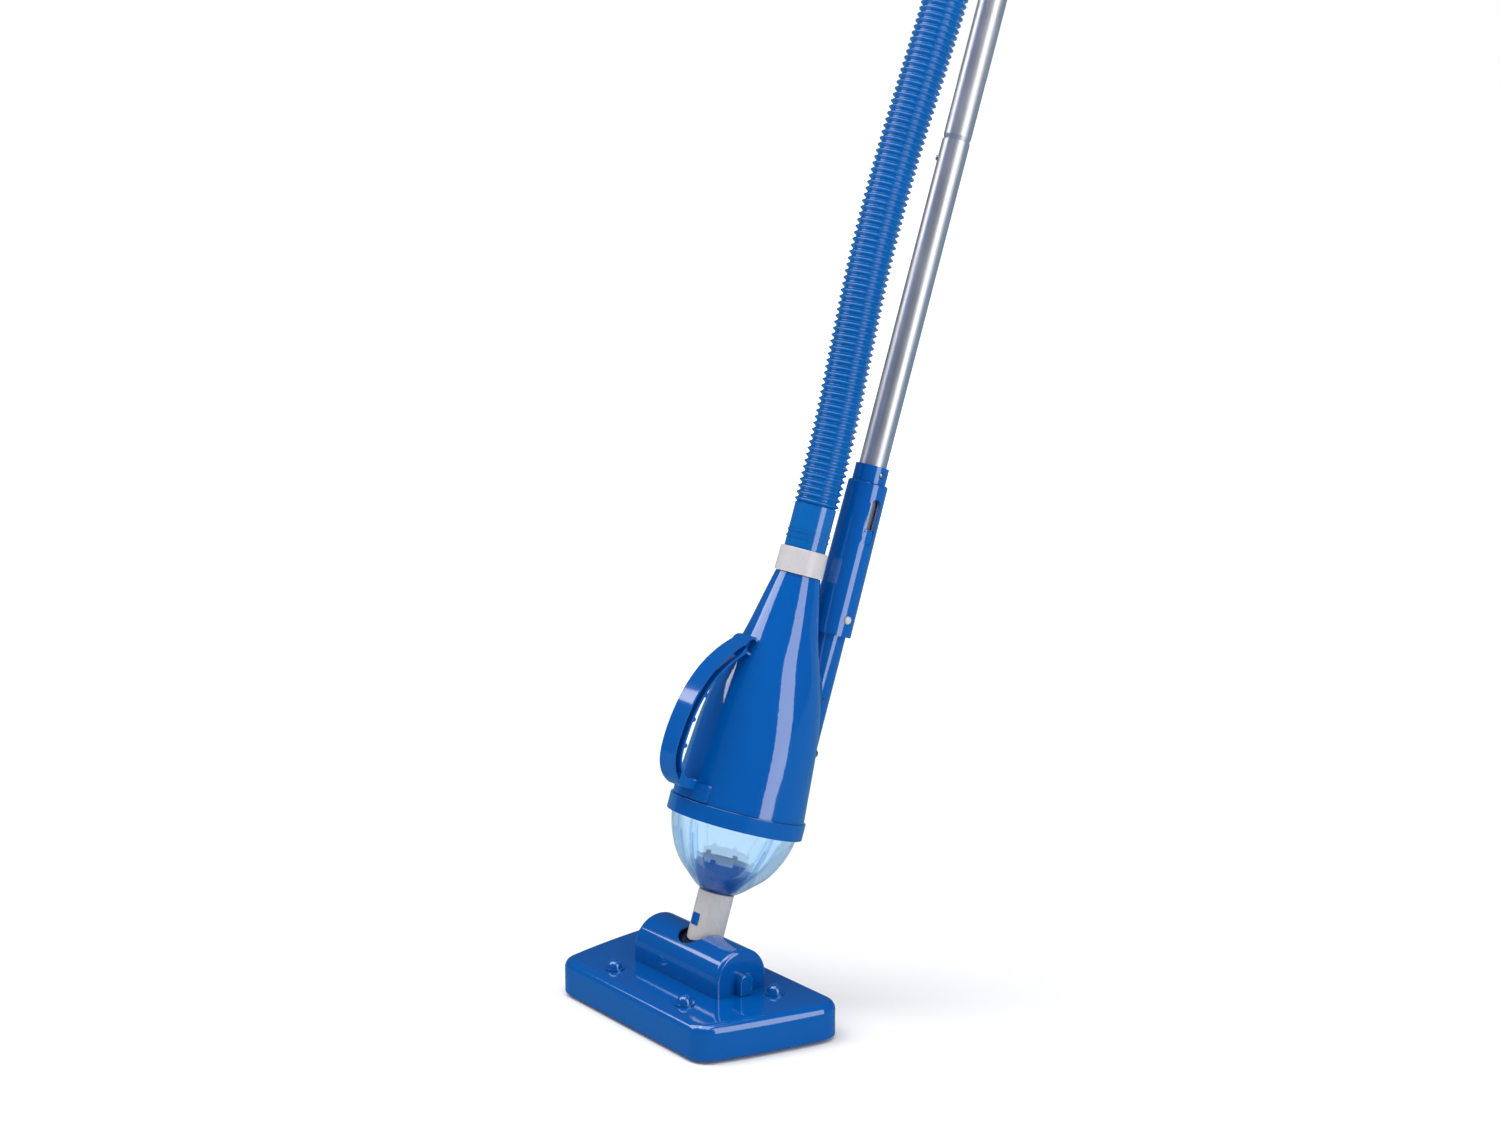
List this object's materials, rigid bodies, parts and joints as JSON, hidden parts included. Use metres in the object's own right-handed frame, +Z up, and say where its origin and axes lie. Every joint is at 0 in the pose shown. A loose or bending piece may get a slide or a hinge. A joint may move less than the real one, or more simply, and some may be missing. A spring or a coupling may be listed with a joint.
{
  "type": "pool cleaner",
  "caption": "Handheld pool vacuum: wheeled suction head on a swivel neck, clear debris dome, handled collector body, ribbed suction hose and plug-in aluminium pole.",
  "frame": {"origin": "on the pool floor, straight below the axis that the neck swivels on, midway along it", "axes": "+X along the swivel axis, +Y towards the side that the pole leans to, +Z up"},
  "size_m": [0.289, 0.6408, 1.5254],
  "materials": {
    "blue_gloss": "glossy moulded blue polypropylene",
    "blue_hose": "soft sheen corrugated hose plastic",
    "white_plastic": "off-white moulded plastic",
    "clear_blue": "clear pale blue dome plastic",
    "aluminium": "satin drawn tube",
    "steel": "plain screws, pins and bars",
    "rubber": "black seal rubber",
    "mesh": "woven strainer mesh",
    "grey_plastic": "dark grey moulded plastic"
  },
  "bodies": {
    "collector": {"body_shell": "blue_gloss", "handle": "blue_gloss", "handle_screws": "steel", "strainer_cage": "white_plastic", "strainer_mesh": "mesh", "pole_stub": "blue_gloss", "stub_screws": "steel", "pole_sleeve": "blue_gloss", "pole_lower": "aluminium", "pole_middle": "aluminium", "pole_upper": "aluminium", "hand_grip": "blue_gloss", "cuff_seal": "rubber", "hose_cuff": "blue_hose", "hose": "blue_hose", "hose_end_cuff": "blue_hose", "hose_clip_lower": "blue_gloss", "hose_clip_upper": "blue_gloss"},
    "dome": {"debris_dome": "clear_blue", "dome_collar": "blue_gloss", "dome_seal": "rubber", "inlet_cup": "blue_gloss", "flap_pin": "steel", "spigot_seal": "rubber", "swivel_neck": "white_plastic", "drum_seals": "rubber"},
    "flap": {"check_flap": "rubber"},
    "latch": {"neck_latch": "blue_gloss"},
    "head": {"head_shell": "blue_gloss", "base_plate": "blue_gloss", "base_screws": "steel", "suction_duct": "blue_gloss", "ballast_bars": "steel", "axle_cap_left": "blue_gloss", "axle_cap_right": "blue_gloss", "post_caps": "blue_gloss", "wheel_forks": "blue_gloss", "wheel_axles": "steel"},
    "wheel_fl": {"wheel_front_left": "grey_plastic"},
    "wheel_fr": {"wheel_front_right": "grey_plastic"},
    "wheel_rl": {"wheel_rear_left": "grey_plastic"},
    "wheel_rr": {"wheel_rear_right": "grey_plastic"},
    "nut": {"hose_nut": "white_plastic"},
    "slider": {"sleeve_slider": "blue_gloss"},
    "button_stub": {"stub_button": "white_plastic"},
    "button_sleeve": {"sleeve_button": "steel"},
    "button_join_low": {"pole_button_lower": "steel"},
    "button_join_high": {"pole_button_upper": "steel"}
  },
  "joints": [
    {"name": "dome_twist", "type": "hinge", "parent": "collector", "child": "dome", "pos_m": [0, 0.04529, 0.18805], "axis": [0, 0.3123, 0.95], "range_deg": [0, 20]},
    {"name": "flap_swing", "type": "hinge", "parent": "dome", "child": "flap", "pos_m": [0, 0.0115, 0.1381], "axis": [1, 0, 0], "range_deg": [0, 60]},
    {"name": "latch_press", "type": "slide", "parent": "dome", "child": "latch", "axis": [0, 0.95, -0.3123], "range_m": [0, 0.0024], "stiffness_N_per_m": 400, "springref_m": -0.002},
    {"name": "head_tilt", "type": "hinge", "parent": "dome", "child": "head", "pos_m": [0, 0, 0.0503], "axis": [1, 0, 0], "range_deg": [-22.5, 27]},
    {"name": "wheel_fl_spin", "type": "hinge", "parent": "head", "child": "wheel_fl", "pos_m": [-0.0588, -0.0597, 0.009], "axis": [1, 0, 0], "continuous": true},
    {"name": "wheel_fr_spin", "type": "hinge", "parent": "head", "child": "wheel_fr", "pos_m": [0.0588, -0.0597, 0.009], "axis": [1, 0, 0], "continuous": true},
    {"name": "wheel_rl_spin", "type": "hinge", "parent": "head", "child": "wheel_rl", "pos_m": [-0.088, 0.0252, 0.009], "axis": [1, 0, 0], "continuous": true},
    {"name": "wheel_rr_spin", "type": "hinge", "parent": "head", "child": "wheel_rr", "pos_m": [0.088, 0.0252, 0.009], "axis": [1, 0, 0], "continuous": true},
    {"name": "nut_turn", "type": "hinge", "parent": "collector", "child": "nut", "pos_m": [0, 0.12493, 0.43029], "axis": [0, 0.3123, 0.95], "continuous": true},
    {"name": "slider_travel", "type": "slide", "parent": "collector", "child": "slider", "axis": [0, 0.3123, 0.95], "range_m": [0, 0.029]},
    {"name": "stub_button_press", "type": "slide", "parent": "collector", "child": "button_stub", "axis": [-1, 0, 0], "range_m": [0, 0.0055], "stiffness_N_per_m": 500, "springref_m": -0.002},
    {"name": "sleeve_button_press", "type": "slide", "parent": "collector", "child": "button_sleeve", "axis": [-1, 0, 0], "range_m": [0, 0.003], "stiffness_N_per_m": 500, "springref_m": -0.002},
    {"name": "join_button_low_press", "type": "slide", "parent": "collector", "child": "button_join_low", "axis": [0.6018, 0.7587, -0.2494], "range_m": [0, 0.0035], "stiffness_N_per_m": 500, "springref_m": -0.002},
    {"name": "join_button_high_press", "type": "slide", "parent": "collector", "child": "button_join_high", "axis": [0.6018, 0.7587, -0.2494], "range_m": [0, 0.0035], "stiffness_N_per_m": 500, "springref_m": -0.002}
  ]
}
